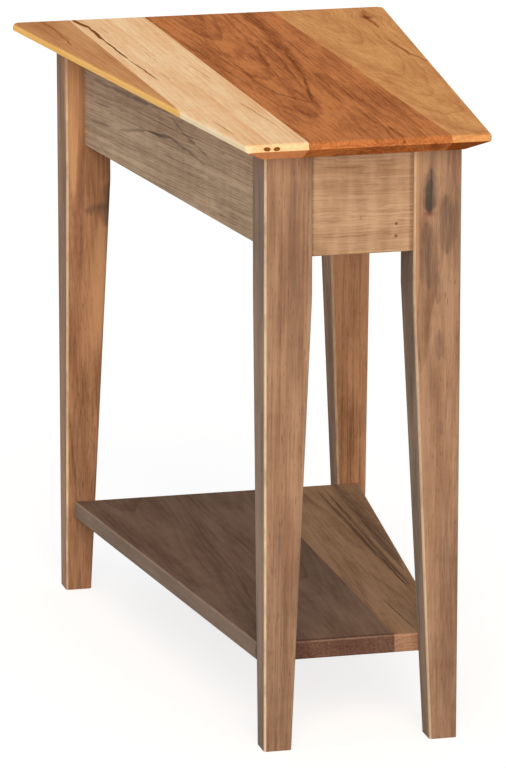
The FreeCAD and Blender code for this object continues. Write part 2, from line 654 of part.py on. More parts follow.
def make_clips():
    """Bent steel clips: a tongue in the groove, a riser, an ear on the top."""
    body = new_body("Clip")
    side = new_sketch(body, "BentStrip", "XZ_Plane")
    riser = "Sizes.clip_face_gap + Sizes.clip_metal"
    tongue_top = "-Sizes.clip_groove_drop"
    tongue_bottom = f"{tongue_top} - Sizes.clip_metal"
    draw_outline(side, [("-Sizes.clip_tongue", tongue_bottom), (riser, tongue_bottom),
                        (riser, "-Sizes.clip_metal"), ("Sizes.clip_reach", "-Sizes.clip_metal"),
                        ("Sizes.clip_reach", "0"), ("Sizes.clip_face_gap", "0"),
                        ("Sizes.clip_face_gap", tongue_top),
                        ("-Sizes.clip_tongue", tongue_top)])
    add_pad(body, side, "Strip", "Sizes.clip_width", symmetric=True)
    hole = new_sketch(body, "ScrewHole", "XY_Plane")
    draw_circle(hole, ("Sizes.clip_screw_offset", "0"), PILOT_RADIUS)
    add_pocket(body, hole, "ScrewBore", "2 * Sizes.clip_metal")
    places = [(x, y, UNDERSIDE, ABOUT_Z, heading) for x, y, heading in clip_places()]
    placed_group("tabletop_clips", body, places)


def make_clip_screws():
    screw = turned("ClipScrew", screw_profile())
    height = f"{UNDERSIDE} - Sizes.clip_metal"
    places = [clip_screw_centre(place) + (height, ABOUT_Z, "0 deg")
              for place in clip_places()]
    placed_group("clip_screws", screw, places)


def make_dowels():
    """A dowel from each leg into the shelf."""
    dowel = turned("Dowel", dowel_profile())
    front_y = f"{SHELF_FRONT} - Sizes.dowel_in_leg"
    back_y = f"{SHELF_BACK} + Sizes.dowel_in_leg"
    places = []
    for x, y, turn in ((FRONT_DOWEL_X, front_y, "-90 deg"), (BACK_DOWEL_X, back_y, "90 deg")):
        places.append((x, y, SHELF_MIDDLE, ABOUT_X, turn))
        places.append((f"-({x})", y, SHELF_MIDDLE, ABOUT_X, turn))
    placed_group("shelf_dowels", dowel, places)


def export_sub_parts():
    """Check the whole document, then write one STEP file for each sub-part."""
    doc.recompute()
    for item in doc.Objects:
        if "Invalid" in item.State or "Error" in item.State:
            raise RuntimeError(f"{item.Name} is {item.State}")
    for item in sub_parts:
        if item.Shape.isNull() or not item.Shape.isValid() or not item.Shape.Solids:
            raise RuntimeError(f"{item.Label} has no valid solid")
    os.makedirs("parts", exist_ok=True)
    for item in sub_parts:
        item.Shape.exportStep(os.path.join("parts", f"{item.Label}.step"))
        print(f"{item.Label}: {len(item.Shape.Solids)} solid(s)")


make_top()
front_leg = make_leg("FrontLeg", "front_right_leg", FRONT_CORNER,
                     "Sizes.side_apron_front_setin", FRONT_DOWEL_X)
back_leg = make_leg("BackLeg", "back_right_leg", BACK_CORNER,
                    "Sizes.side_apron_back_setin", BACK_DOWEL_X)
front_block = make_glue_block("FrontBlock", "front_right_glue_block", FRONT_CORNER)
back_block = make_glue_block("BackBlock", "back_right_glue_block", BACK_CORNER)
mirrored(front_leg, "front_left_leg")
mirrored(back_leg, "back_left_leg")
mirrored(front_block, "front_left_glue_block")
mirrored(back_block, "back_left_glue_block")
mirrored(make_side_apron(), "left_apron")
make_end_apron("FrontApron", "front_apron", FRONT_CORNER)
make_end_apron("BackApron", "back_apron", BACK_CORNER)
make_shelf()
make_dowels()
make_clips()
make_clip_screws()
export_sub_parts()
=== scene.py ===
"""Looks of a wedge table: boards, stained frame, shelf, hidden wood and steel, and a plain studio round it.

Lengths are in metres, in the frame of the packed model: +Z up, +Y from the narrow front to the wide back.
"""

import math
from dataclasses import dataclass

import bpy
from bpy.props import FloatProperty, FloatVectorProperty, PointerProperty
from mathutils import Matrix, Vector

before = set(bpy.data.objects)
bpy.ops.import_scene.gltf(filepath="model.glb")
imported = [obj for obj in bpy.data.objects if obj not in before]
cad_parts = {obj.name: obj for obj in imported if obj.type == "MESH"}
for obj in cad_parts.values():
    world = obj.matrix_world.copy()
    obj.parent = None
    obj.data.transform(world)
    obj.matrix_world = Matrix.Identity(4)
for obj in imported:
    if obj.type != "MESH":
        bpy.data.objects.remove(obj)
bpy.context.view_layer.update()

bl_info = {
    "name": "Wedge Table Looks",
    "version": (1, 0, 0),
    "blender": (4, 5, 0),
    "location": "3D View > Sidebar > Wedge Table",
    "description": "Finishes every board, leg, apron and fastener of a wedge table, and sets up a studio",
    "category": "Material",
}


# Colours and lengths

MILLIMETRE = 0.001
FULL_TONE = 255.0
# The curve of a screen's tones: a straight start up to a limit, then a power
CURVE_LIMIT, CURVE_SLOPE, CURVE_OFFSET, CURVE_POWER = 0.04045, 12.92, 0.055, 2.4
WHITE = (1.0, 1.0, 1.0, 1.0)


def linear(tone):
    """The light that a tone from 0 to 1 stands for."""
    if tone <= CURVE_LIMIT:
        return tone / CURVE_SLOPE
    return ((tone + CURVE_OFFSET) / (1.0 + CURVE_OFFSET)) ** CURVE_POWER


def paint(*tones):
    """The linear colour, with alpha, of a paint chip whose three tones run from 0 to 255."""
    return (*(linear(tone / FULL_TONE) for tone in tones), 1.0)


def mm(*lengths):
    """Lengths given in millimetres, as metres."""
    return tuple(length * MILLIMETRE for length in lengths)


def chip(name, description, tones):
    """A colour that the user can change."""
    return FloatVectorProperty(
        name=name, description=description, default=paint(*tones), size=4, subtype="COLOR", min=0.0, max=1.0
    )


def distance(name, description, default):
    """A length that the user can change."""
    return FloatProperty(name=name, description=description, default=default, unit="LENGTH", min=0.0)


def share(name, description, default):
    """A share from nothing to all that the user can change."""
    return FloatProperty(
        name=name, description=description, default=default, subtype="FACTOR", min=0.0, max=1.0,
    )


# Settings

class WedgeTableTop(bpy.types.PropertyGroup):
    """Colours of the four boards that the top is glued up from."""

    honey_light: chip("Honey Light", "Early wood of the left board", (211, 152, 98))
    honey_dark: chip("Honey Dark", "Late wood of the left board", (181, 115, 66))
    pale_light: chip("Pale Light", "Early wood of the pale board", (253, 214, 162))
    pale_dark: chip("Pale Dark", "Late wood of the pale board", (233, 165, 109))
    reddish_light: chip("Reddish Light", "Early wood of the reddish board", (207, 128, 72))
    reddish_dark: chip("Reddish Dark", "Late wood of the reddish board", (140, 75, 40))
    golden_light: chip("Golden Light", "Early wood of the right board", (225, 161, 98))
    golden_dark: chip("Golden Dark", "Late wood of the right board", (181, 113, 61))
    mineral: chip("Mineral Streak", "Dark streak in the pale board", (128, 72, 30))
    rust: chip("Rust Streak", "Reddish streaks in the honey and golden boards", (140, 64, 14))
    smoky: chip("Smoky Streak", "Broad dark streak in the reddish board", (104, 46, 12))
    # Gold Rim and Cream Rim are painted highlight: they lighten the upright sides of the honey and pale
    # boards' rims
    gold_rim_highlight: chip("Gold Rim", "Added to the honey board's rim, which takes more oil", (255, 172, 78))
    cream_rim_highlight: chip("Cream Rim", "Added to the pale board's upright side", (255, 196, 150))
    end_rim: chip("End Rim", "Added to the upright front and back", (82, 38, 26))
    red_rim: chip("Red Rim", "Added to the reddish board's upright front and back", (52, 14, 4))
    # The three bevel tints are painted shade: they darken and warm the downward-facing bevel under the top
    warm_bevel_shade: chip("Warm Bevel", "Deepens the bevel under the pale and honey boards", (242, 197, 174))
    red_bevel_shade: chip("Red Bevel", "Deepens the bevel under the reddish board", (250, 240, 228))
    gold_bevel_shade: chip("Gold Bevel", "Deepens the bevel under the golden board", (182, 146, 116))


class WedgeTableFrame(bpy.types.PropertyGroup):
    """Colours of the stained legs and aprons."""

    leg_light: chip("Front Leg Light", "Early wood of the front legs", (166, 130, 102))
    leg_dark: chip("Front Leg Dark", "Late wood of the front legs", (122, 88, 67))
    back_leg_light: chip("Back Leg Light", "Early wood of the back legs, stained more", (180, 132, 97))
    back_leg_dark: chip("Back Leg Dark", "Late wood of the back legs", (126, 86, 58))
    end_apron_light: chip("End Apron Light", "Early wood of the front and back aprons", (188, 152, 119))
    end_apron_dark: chip("End Apron Dark", "Late wood of the front and back aprons", (137, 103, 75))
    side_apron_light: chip("Side Apron Light", "Early wood of the side aprons", (205, 176, 145))
    side_apron_dark: chip("Side Apron Dark", "Late wood of the side aprons", (138, 112, 89))
    # Smoky Knot also darkens the legs' lower parts, and paints shade on the front right leg's inner face,
    # under the left apron on the back left leg, and under the top's rim on the left apron
    smoky: chip("Smoky Knot", "Grey stain of a knot in a leg", (68, 60, 56))
    flush: chip("Flushed Grain", "Reddish grain round a knot", (126, 78, 62))
    # Pin Mark also paints shade down the front apron's ends, where it sits back from the legs
    pin: chip("Pin Mark", "Small brown marks and cracks in an apron", (96, 58, 40))
    # Sapwood also paints a pool of light at the top of the back left leg's front face
    sapwood_and_light: chip("Sapwood", "Pale streaks of young wood", (222, 170, 122))
    # Cool Side is painted reflection: a cool grey screened onto the legs' left and right faces
    side_reflection_tint: chip("Cool Side", "Greys the legs' left and right faces, which took less stain", (38, 70, 70))
    plain_end: chip("Plain End", "Added to the front and back faces of the legs", (6, 4, 4))
    plain_under: chip("Plain Under", "Tint of what faces the floor", (250, 245, 240))
    worn: chip("Worn Edge", "Added where an edge is rubbed", (255, 214, 170))


class WedgeTableShelf(bpy.types.PropertyGroup):
    """Colours of the shelf's boards."""

    brown_light: chip("Brown Light", "Early wood of the left and centre boards", (128, 102, 82))
    brown_dark: chip("Brown Dark", "Late wood of the left and centre boards", (95, 70, 55))
    tan_light: chip("Tan Light", "Early wood of the right board", (167, 130, 96))
    tan_dark: chip("Tan Dark", "Late wood of the right board", (125, 90, 65))
    streak: chip("Streak", "Dark streaks of the right board", (58, 40, 34))
    end_grain: chip("End Grain", "Dark reddish end grain of the left and centre boards", (76, 44, 38))
    side_rim: chip("Side Rim", "Added to the shelf's upright sides", (90, 84, 76))
    end_rim: chip("End Rim", "Added to the shelf's front and back ends", (20, 8, 16))
    tan_end_rim: chip("Tan End Rim", "Added to the right board's ends", (46, 26, 40))
    bottom: chip("Bottom Tint", "Tint of the shelf's underside", (255, 244, 232))
    worn: chip("Worn Edge", "Added where an edge is rubbed", (130, 104, 88))


class WedgeTableFinish(bpy.types.PropertyGroup):
    """Oil, wax and wear on every board, and the plating of the steel."""

    edge_wear: share("Edge Wear", "How much lighter the eased edges are", 0.55)
    roughness: share("Roughness", "Roughness of the waxed wood", 0.5)
    shine: share("Shine", "How strongly the waxed wood reflects", 0.001)
    relief: distance("Grain Relief", "Depth of the open grain", 0.0003)
    bare_light: chip("Bare Light", "Early wood of the dowels and glue blocks", (222, 190, 150))
    bare_dark: chip("Bare Dark", "Late wood of the dowels and glue blocks", (184, 142, 100))
    worn: chip("Worn Edge", "Added where an edge of a block is rubbed", (255, 214, 170))
    zinc: chip("Zinc", "Zinc plate of the clips and screws", (205, 206, 210))


class WedgeTableStudio(bpy.types.PropertyGroup):
    """Floor, light and camera."""

    floor: chip("Floor", "Plain pale floor, as the table's light meets it", (226, 221, 212))
    floor_seen: chip("Floor Seen", "The same floor as the camera meets it, before its lift", (157, 150, 142))
    floor_glow: share("Floor Glow", "How much the floor is lifted to white for the camera", 0.785)
    fill: FloatProperty(name="Fill", description="Strength of the even light", default=0.62, min=0.0)
    fill_tint: chip("Fill Tint", "Colour of the even light", (214, 231, 255))
    key: FloatProperty(name="Key", description="Strength of the soft lamp", default=2.75, min=0.0)
    key_tint: chip("Key Tint", "Colour of the soft lamp", (255, 239, 217))
    key_spread: FloatProperty(
        name="Lamp Spread", description="Width of the lamp as the table sees it", default=math.radians(50.0),
        min=0.0, subtype="ANGLE",
    )
    key_heading: FloatVectorProperty(
        name="Lamp Heading", description="From the table to the lamp", default=(-0.14, -0.88, 0.5),
        subtype="DIRECTION",
    )
    floor_width: distance("Floor Width", "Side of the square floor", 60.0)
    lens: FloatProperty(name="Lens", description="Focal length in millimetres", default=248.56, min=1.0)
    turn: FloatProperty(
        name="Turn", description="How far the camera looks to the right", default=math.radians(14.09),
        subtype="ANGLE",
    )
    tilt: FloatProperty(
        name="Tilt", description="How far the camera looks down", default=math.radians(14.10),
        subtype="ANGLE",
    )
    stand: FloatVectorProperty(
        name="Camera Place", description="Where the camera stands", default=(-1.31089, -5.11375, 1.61161),
        subtype="TRANSLATION",
    )


# Node trees

class Tree:
    """A node tree, and short ways to add nodes to it."""

    def __init__(self, tree):
        self.tree = tree

    def add(self, kind, inputs=None, **settings):
        """A new node, with its settings made and its inputs fed."""
        node = self.tree.nodes.new(kind)
        for name, value in settings.items():
            setattr(node, name, value)
        for name, value in (inputs or {}).items():
            self.feed(node.inputs[name], value)
        return node

    def feed(self, socket, value):
        """Links value to the socket if it is a socket too, and sets it there otherwise."""
        if isinstance(value, bpy.types.NodeSocket):
            self.tree.links.new(value, socket)
        else:
            socket.default_value = value

    def group(self, name, inputs):
        """The outputs of the shared node group of that name, with its inputs fed."""
        return self.add("ShaderNodeGroup", inputs, node_tree=bpy.data.node_groups[name], label=name).outputs

    def maths(self, operation, *values, clamp=False):
        """The result of a Math node."""
        node = self.add("ShaderNodeMath", operation=operation, use_clamp=clamp)
        for socket, value in zip(node.inputs, values):
            self.feed(socket, value)
        return node.outputs[0]

    def times(self, first, second):
        """The product of two numbers."""
        return self.maths("MULTIPLY", first, second)

    def vector(self, operation, *values):
        """The result of a Vector Math node."""
        node = self.add("ShaderNodeVectorMath", operation=operation)
        for socket, value in zip(node.inputs, values):
            self.feed(socket, value)
        return node.outputs["Value" if operation in ("LENGTH", "DOT_PRODUCT", "DISTANCE") else "Vector"]

    def smooth(self, value, low, high, start=0.0, end=1.0):
        """A soft step from start to end as value goes from low to high."""
        node = self.add("ShaderNodeMapRange", interpolation_type="SMOOTHSTEP")
        for socket, given in zip(node.inputs, (value, low, high, start, end)):
            self.feed(socket, given)
        return node.outputs["Result"]

    def blend(self, second_share, first, second, kind="MIX"):
        """Two colours mixed."""
        node = self.add("ShaderNodeMix", data_type="RGBA", blend_type=kind)
        colours = [socket for socket in node.inputs if socket.type == "RGBA"]
        for socket, value in zip((node.inputs["Factor"], *colours), (second_share, first, second)):
            self.feed(socket, value)
        return next(socket for socket in node.outputs if socket.type == "RGBA")

    def thrice(self, value):
        """The same number along all three axes."""
        return self.add("ShaderNodeCombineXYZ", {"X": value, "Y": value, "Z": value}).outputs[0]

    def steps(self, place, along, across, seed):
        """A place counted in steps, along by the grain and across the other ways, moved on by seed."""
        size = self.add("ShaderNodeCombineXYZ", {"X": along, "Y": across, "Z": across}).outputs[0]
        return self.vector("ADD", self.vector("DIVIDE", place, size), self.thrice(seed))

    def noise(self, place, detail=2.0, roughness=0.5, result="Fac"):
        """Soft noise about one step across."""
        inputs = {"Vector": place, "Scale": 1.0, "Detail": detail, "Roughness": roughness}
        return self.add("ShaderNodeTexNoise", inputs).outputs[result]


FLOAT, VECTOR, COLOUR = "NodeSocketFloat", "NodeSocketVector", "NodeSocketColor"
ORIGIN = (0.0, 0.0, 0.0)

# What a noise gives on average, as a colour
MID_NOISE = (0.5, 0.5, 0.5)
# How long each noise's spots are along the grain and how wide across it, in metres
FINE_FIBRE, BROAD_FIBRE = (0.03, 0.0007), (0.18, 0.0024)
PORE_WIDTH = 0.001
MOTTLE, CURL = (0.16, 0.022), (0.012, 0.035)
SWAY, KNOT_RIM = (0.03, 0.03), (0.004, 0.004)
HAND_RUB, CLOTH_RUB = (0.03, 0.03), (0.09, 0.05)
STEEL_MARKS, DRAWN_LINES = (0.004, 0.004), (0.006, 0.0002)
SPANGLES_PER_METRE = 420.0
STEEL_RELIEF = 0.0001
THIRDS = (0.333, 0.333, 0.333)
# Where soft steps begin and end, in parts of a face's normal: a face starts to look one way, looks down no
# more, and lies no more on its piece's inner side
LOOKS_ONE_WAY, NOT_DOWN, NOT_INWARD = (0.05, 0.15), (-0.3, -0.1), (-0.3, -0.05)
# Colours that no setting changes
OPEN_PORE, KNOT_HEART = paint(50, 26, 12), paint(30, 20, 14)
DULL_ZINC, BRIGHT_ZINC = paint(128, 128, 126), paint(235, 238, 245)


def new_group(name, inputs):
    """A shared node group with those inputs and their defaults, and what comes in through them by name."""
    tree = bpy.data.node_groups.new(name, "ShaderNodeTree")
    for socket_name, default in inputs.items():
        kind = FLOAT if isinstance(default, float) else VECTOR if len(default) == 3 else COLOUR
        tree.interface.new_socket(socket_name, in_out="INPUT", socket_type=kind).default_value = default
    given = tree.nodes.new("NodeGroupInput").outputs
    return Tree(tree), given


def close_group(tree, results):
    """Gives a group an output for each result, and leads the results out."""
    for name, value in results.items():
        kind = {"VALUE": FLOAT, "VECTOR": VECTOR, "RGBA": COLOUR}[value.type]
        tree.tree.interface.new_socket(name, in_out="OUTPUT", socket_type=kind)
    leaving = tree.add("NodeGroupOutput")
    for name, value in results.items():
        tree.feed(leaving.inputs[name], value)


def make_log_rings():
    """Growth rings round a log whose heart lies along X, with the waver that turns them into figure."""
    tree, given = new_group("Log Rings", {
        "Vector": ORIGIN, "Ring Width": 0.003, "Waver": 0.004, "Waver Length": 0.15, "Waver Breadth": 0.03,
        "Seed": 0.0,
    })
    place = given["Vector"]
    coarse = tree.steps(place, given["Waver Length"], given["Waver Breadth"], given["Seed"])
    push = tree.vector("SUBTRACT", tree.noise(coarse, 2.5, 0.5, "Color"), MID_NOISE)
    moved = tree.vector("ADD", place, tree.vector("MULTIPLY", push, tree.thrice(given["Waver"])))
    radius = tree.vector("LENGTH", tree.vector("MULTIPLY", moved, (0.0, 1.0, 1.0)))
    ring = tree.maths("DIVIDE", radius, given["Ring Width"])
    part = tree.maths("FRACT", ring)
    number = tree.maths("FLOOR", ring)
    chance = tree.add("ShaderNodeTexWhiteNoise", {"W": number}, noise_dimensions="1D").outputs["Value"]
    late = tree.times(tree.smooth(part, 0.3, 0.88), tree.smooth(part, 0.9, 1.0, 1.0, 0.0))
    strength = tree.maths("MULTIPLY_ADD", chance, 0.8, 0.2)
    close_group(tree, {"Line": tree.times(late, strength), "Tone": chance})


def make_wood_fibre():
    """Fibres, open pores, soft mottle and curl, all laid along X."""
    tree, given = new_group("Wood Fibre", {
        "Vector": ORIGIN, "Pore Share": 0.3, "Pore Length": 0.02, "Seed": 0.0,
    })
    place, seed = given["Vector"], given["Seed"]
    fine = tree.noise(tree.steps(place, *FINE_FIBRE, seed), 2.0, 0.6)
    broad = tree.noise(tree.steps(place, *BROAD_FIBRE, seed), 2.0, 0.5)
    fibre = tree.times(tree.maths("ADD", fine, broad), 0.5)
    dash = tree.noise(tree.steps(place, given["Pore Length"], PORE_WIDTH, seed), 1.0, 0.5)
    level = tree.maths("MULTIPLY_ADD", given["Pore Share"], -0.3, 0.78)
    mottle = tree.noise(tree.steps(place, *MOTTLE, seed), 3.0, 0.55)
    curl = tree.noise(tree.steps(place, *CURL, seed), 2.0, 0.5)
    close_group(tree, {
        "Fibre": tree.smooth(fibre, 0.32, 0.68),
        "Pores": tree.smooth(dash, level, tree.maths("ADD", level, 0.08)),
        "Mottle": tree.smooth(mottle, 0.3, 0.7),
        "Curl": tree.smooth(curl, 0.3, 0.7),
    })


def make_wood_colour():
    """Light and dark wood mixed by its rings, fibres, mottle, curl and pores."""
    tree, given = new_group("Wood Colour", {
        "Line": 0.0, "Tone": 0.5, "Fibre": 0.5, "Pores": 0.0, "Mottle": 0.5, "Curl": 0.5,
        "Line Strength": 0.5, "Fibre Strength": 0.3, "Mottle Strength": 0.4, "Curl Strength": 0.1,
        "Pore Strength": 0.6, "Depth": 0.25, "Light": paint(220, 180, 130), "Dark": paint(150, 100, 60),
    })
    total = tree.maths("MULTIPLY_ADD", given["Line"], given["Line Strength"], given["Depth"])
    for name in ("Fibre", "Mottle", "Curl"):
        centred = tree.maths("SUBTRACT", given[name], 0.5)
        total = tree.maths("MULTIPLY_ADD", centred, given[name + " Strength"], total)
    total = tree.maths("MULTIPLY_ADD", given["Tone"], 0.12, total, clamp=True)
    wood = tree.blend(total, given["Light"], given["Dark"])
    pore = tree.times(given["Pores"], given["Pore Strength"])
    pore_colour = tree.blend(0.35, given["Dark"], OPEN_PORE)
    close_group(tree, {"Color": tree.blend(pore, wood, pore_colour)})


def make_dark_streak():
    """A soft streak, from Start to End, that wanders a little and thins out at both ends."""
    tree, given = new_group("Dark Streak", {
        "Vector": ORIGIN, "Start": ORIGIN, "End": (0.0, 0.1, 0.0), "Width": 0.002, "Wander": 0.003,
        "Softness": 0.6, "Seed": 0.0,
    })
    place = given["Vector"]
    sway = tree.noise(tree.steps(place, *SWAY, given["Seed"]), 3.0, 0.55, "Color")
    shift = tree.vector("SUBTRACT", sway, MID_NOISE)
    shift = tree.vector("MULTIPLY", shift, tree.thrice(given["Wander"]))
    offset = tree.vector("SUBTRACT", tree.vector("ADD", place, shift), given["Start"])
    run = tree.vector("SUBTRACT", given["End"], given["Start"])
    along = tree.vector("DOT_PRODUCT", offset, run)
    along = tree.maths("DIVIDE", along, tree.vector("DOT_PRODUCT", run, run), clamp=True)
    away = tree.vector("DISTANCE", offset, tree.vector("MULTIPLY", run, tree.thrice(along)))
    from_middle = tree.maths("ABSOLUTE", tree.maths("MULTIPLY_ADD", along, 2.0, -1.0))
    reach = tree.times(given["Width"], tree.smooth(from_middle, 0.4, 1.0, 1.0, 0.25))
    core = tree.times(reach, tree.maths("SUBTRACT", 1.0, given["Softness"]))
    fade = tree.smooth(from_middle, 0.85, 1.0, 1.0, 0.0)
    close_group(tree, {"Mask": tree.times(tree.smooth(away, core, reach, 1.0, 0.0), fade)})


def make_knot():
    """A knot at Centre: its dark eye, the halo round it, and the grain that bends round both."""
    tree, given = new_group("Knot", {
        "Vector": ORIGIN, "Centre": ORIGIN, "Size": 0.004, "Reach": 0.02, "Pull": 0.7, "Seed": 0.0,
    })
    place = given["Vector"]
    offset = tree.vector("SUBTRACT", place, given["Centre"])
    away = tree.vector("LENGTH", offset)
    share_of_reach = tree.maths("DIVIDE", away, given["Reach"])
    near = tree.maths("EXPONENT", tree.times(tree.maths("POWER", share_of_reach, 2.0), -1.0))
    keep = tree.maths("SUBTRACT", 1.0, tree.times(near, given["Pull"]))
    bent = tree.vector("ADD", given["Centre"], tree.vector("MULTIPLY", offset, tree.thrice(keep)))
    ragged = tree.maths("SUBTRACT", tree.noise(tree.steps(place, *KNOT_RIM, given["Seed"])), 0.5)
    edge = tree.maths("MULTIPLY_ADD", ragged, given["Size"], away)
    rim = tree.times(given["Size"], 0.5)
    close_group(tree, {
        "Vector": bent,
        "Eye": tree.smooth(edge, rim, given["Size"], 1.0, 0.0),
        "Halo": tree.smooth(edge, rim, tree.times(given["Size"], 3.0), 1.0, 0.0),
    })


def make_eased_edge():
    """Edges rubbed lighter by hands and cloths, and which faces look sideways, endways or down.

    Edges that face left wear, less so on a piece's inner side. On its outer side those that face back or
    slant up wear too.
    """
    tree, given = new_group("Eased Edge", {"Vector": ORIGIN, "Seed": 0.0})
    facing = tree.add("ShaderNodeNewGeometry").outputs["Normal"]
    parts = tree.add("ShaderNodeSeparateXYZ", {"Vector": tree.vector("ABSOLUTE", facing)}).outputs
    most = tree.maths("MAXIMUM", parts["X"], tree.maths("MAXIMUM", parts["Y"], parts["Z"]))
    ways = tree.add("ShaderNodeSeparateXYZ", {"Vector": facing}).outputs
    up = ways["Z"]
    place = tree.add("ShaderNodeSeparateXYZ", {"Vector": given["Vector"]}).outputs
    right_of_middle = tree.maths("SIGN", place["X"])
    outward = tree.times(ways["X"], right_of_middle)
    leftward = tree.smooth(ways["X"], *LOOKS_ONE_WAY, 1.0, 0.0)
    leftward = tree.times(leftward, tree.smooth(outward, *NOT_INWARD, 0.6, 1.0))
    backward = tree.smooth(ways["Y"], *LOOKS_ONE_WAY)
    handled = tree.maths("MAXIMUM", backward, tree.smooth(parts["Z"], 0.15, 0.3))
    handled = tree.times(tree.smooth(outward, *NOT_INWARD), handled)
    handled = tree.maths("MAXIMUM", handled, leftward)
    rubbed = tree.noise(tree.steps(given["Vector"], *HAND_RUB, given["Seed"]), 3.0, 0.6)
    worn = tree.times(tree.smooth(most, 0.93, 0.985, 1.0, 0.0), tree.smooth(up, *NOT_DOWN))
    worn = tree.times(worn, handled)
    upright = tree.times(tree.smooth(up, 0.5, 0.9, 1.0, 0.0), tree.smooth(up, *NOT_DOWN))
    close_group(tree, {
        "Worn": tree.times(worn, tree.smooth(rubbed, 0.3, 0.6, 0.45, 1.0)),
        "Side": tree.times(upright, parts["X"]),
        "End": tree.times(upright, parts["Y"]),
        "Under": tree.smooth(up, *NOT_DOWN, 1.0, 0.0),
    })


def make_satin_finish():
    """Roughness and relief of oiled and waxed wood."""
    tree, given = new_group("Satin Finish", {
        "Vector": ORIGIN, "Line": 0.0, "Fibre": 0.5, "Pores": 0.0, "Roughness": 0.42, "Seed": 0.0,
    })
    rubbed = tree.noise(tree.steps(given["Vector"], *CLOTH_RUB, given["Seed"]), 3.0, 0.55)
    rough = tree.maths("MULTIPLY_ADD", tree.maths("SUBTRACT", rubbed, 0.5), 0.22, given["Roughness"])
    rough = tree.maths("MULTIPLY_ADD", given["Pores"], 0.2, rough)
    rough = tree.maths("MULTIPLY_ADD", given["Line"], -0.05, rough, clamp=True)
    height = tree.maths("MULTIPLY_ADD", given["Fibre"], 0.35, tree.times(given["Line"], 0.25))
    close_group(tree, {"Roughness": rough, "Height": tree.maths("SUBTRACT", height, given["Pores"])})


def make_zinc_plate():
    """Spangle, handling marks and fine drawn lines of zinc-plated steel."""
    tree, given = new_group("Zinc Plate", {"Vector": ORIGIN, "Color": paint(205, 206, 210)})
    cells = tree.add("ShaderNodeTexVoronoi", {"Vector": given["Vector"], "Scale": SPANGLES_PER_METRE})
    spangle = tree.vector("DOT_PRODUCT", cells.outputs["Color"], THIRDS)
    marks = tree.noise(tree.steps(given["Vector"], *STEEL_MARKS, 3.0), 4.0, 0.6)
    drawn = tree.noise(tree.steps(given["Vector"], *DRAWN_LINES, 5.0), 2.0, 0.6)
    dulled = tree.blend(tree.smooth(marks, 0.4, 0.8, 0.0, 0.45), given["Color"], DULL_ZINC)
    bright = tree.blend(tree.times(spangle, 0.25), dulled, BRIGHT_ZINC)
    rough = tree.maths("MULTIPLY_ADD", spangle, 0.12, 0.26)
    close_group(tree, {
        "Color": bright,
        "Roughness": tree.maths("MULTIPLY_ADD", marks, 0.2, rough),
        "Height": drawn,
    })


GROUP_MAKERS = (
    make_log_rings, make_wood_fibre, make_wood_colour, make_dark_streak,
    make_knot, make_eased_edge, make_satin_finish, make_zinc_plate,
)


def shared_groups():
    """Builds each shared node group that isn't there yet."""
    if "Log Rings" not in bpy.data.node_groups:
        for make in GROUP_MAKERS:
            make()


# Boards

@dataclass(frozen=True)
class Streak:
    """A streak in a board, darker or paler than its wood, from start to end in millimetres."""

    start: tuple
    end: tuple
    width: float
    colour: str
    strength: float = 0.8
    wander: float = 3.0
    softness: float = 0.6


@dataclass(frozen=True)
class Knot:
    """A knot in a board, with lengths in millimetres."""

    centre: tuple
    size: float
    reach: float
    colour: str
    pull: float = 0.7
    halo: float = 0.4
    eye: float = 1.0


@dataclass(frozen=True)
class Board:
    """How a board was sawn from its log: where the log's heart runs, how its rings lie, and what it shows.

    Wood names its light and its dark colour. The heart is a point in millimetres and turn the log's angles in
    degrees. Ring widths, wavers and pore lengths are in millimetres. The edges are the tints of its upright
    sides, its upright ends and its underside.
    """

    wood: str
    heart: tuple
    turn: tuple
    seed: float
    ring_width: float = 3.5
    waver: float = 8.0
    waver_length: float = 160.0
    waver_breadth: float = 30.0
    depth: float = 0.25
    line: float = 0.5
    fibre: float = 0.35
    mottle: float = 0.4
    curl: float = 0.1
    pore_share: float = 0.3
    pores: float = 0.5
    pore_length: float = 20.0
    edges: tuple = ()
    streaks: tuple = ()
    knots: tuple = ()


def empty_material(name):
    """A material without nodes, and its tree."""
    material = bpy.data.materials.new(name)
    material.use_nodes = True
    material.node_tree.nodes.clear()
    return material, Tree(material.node_tree)


def close_material(tree, inputs):
    """Leads a Principled surface with these inputs out of a material."""
    shader = tree.add("ShaderNodeBsdfPrincipled", inputs)
    tree.add("ShaderNodeOutputMaterial", {"Surface": shader.outputs["BSDF"]})


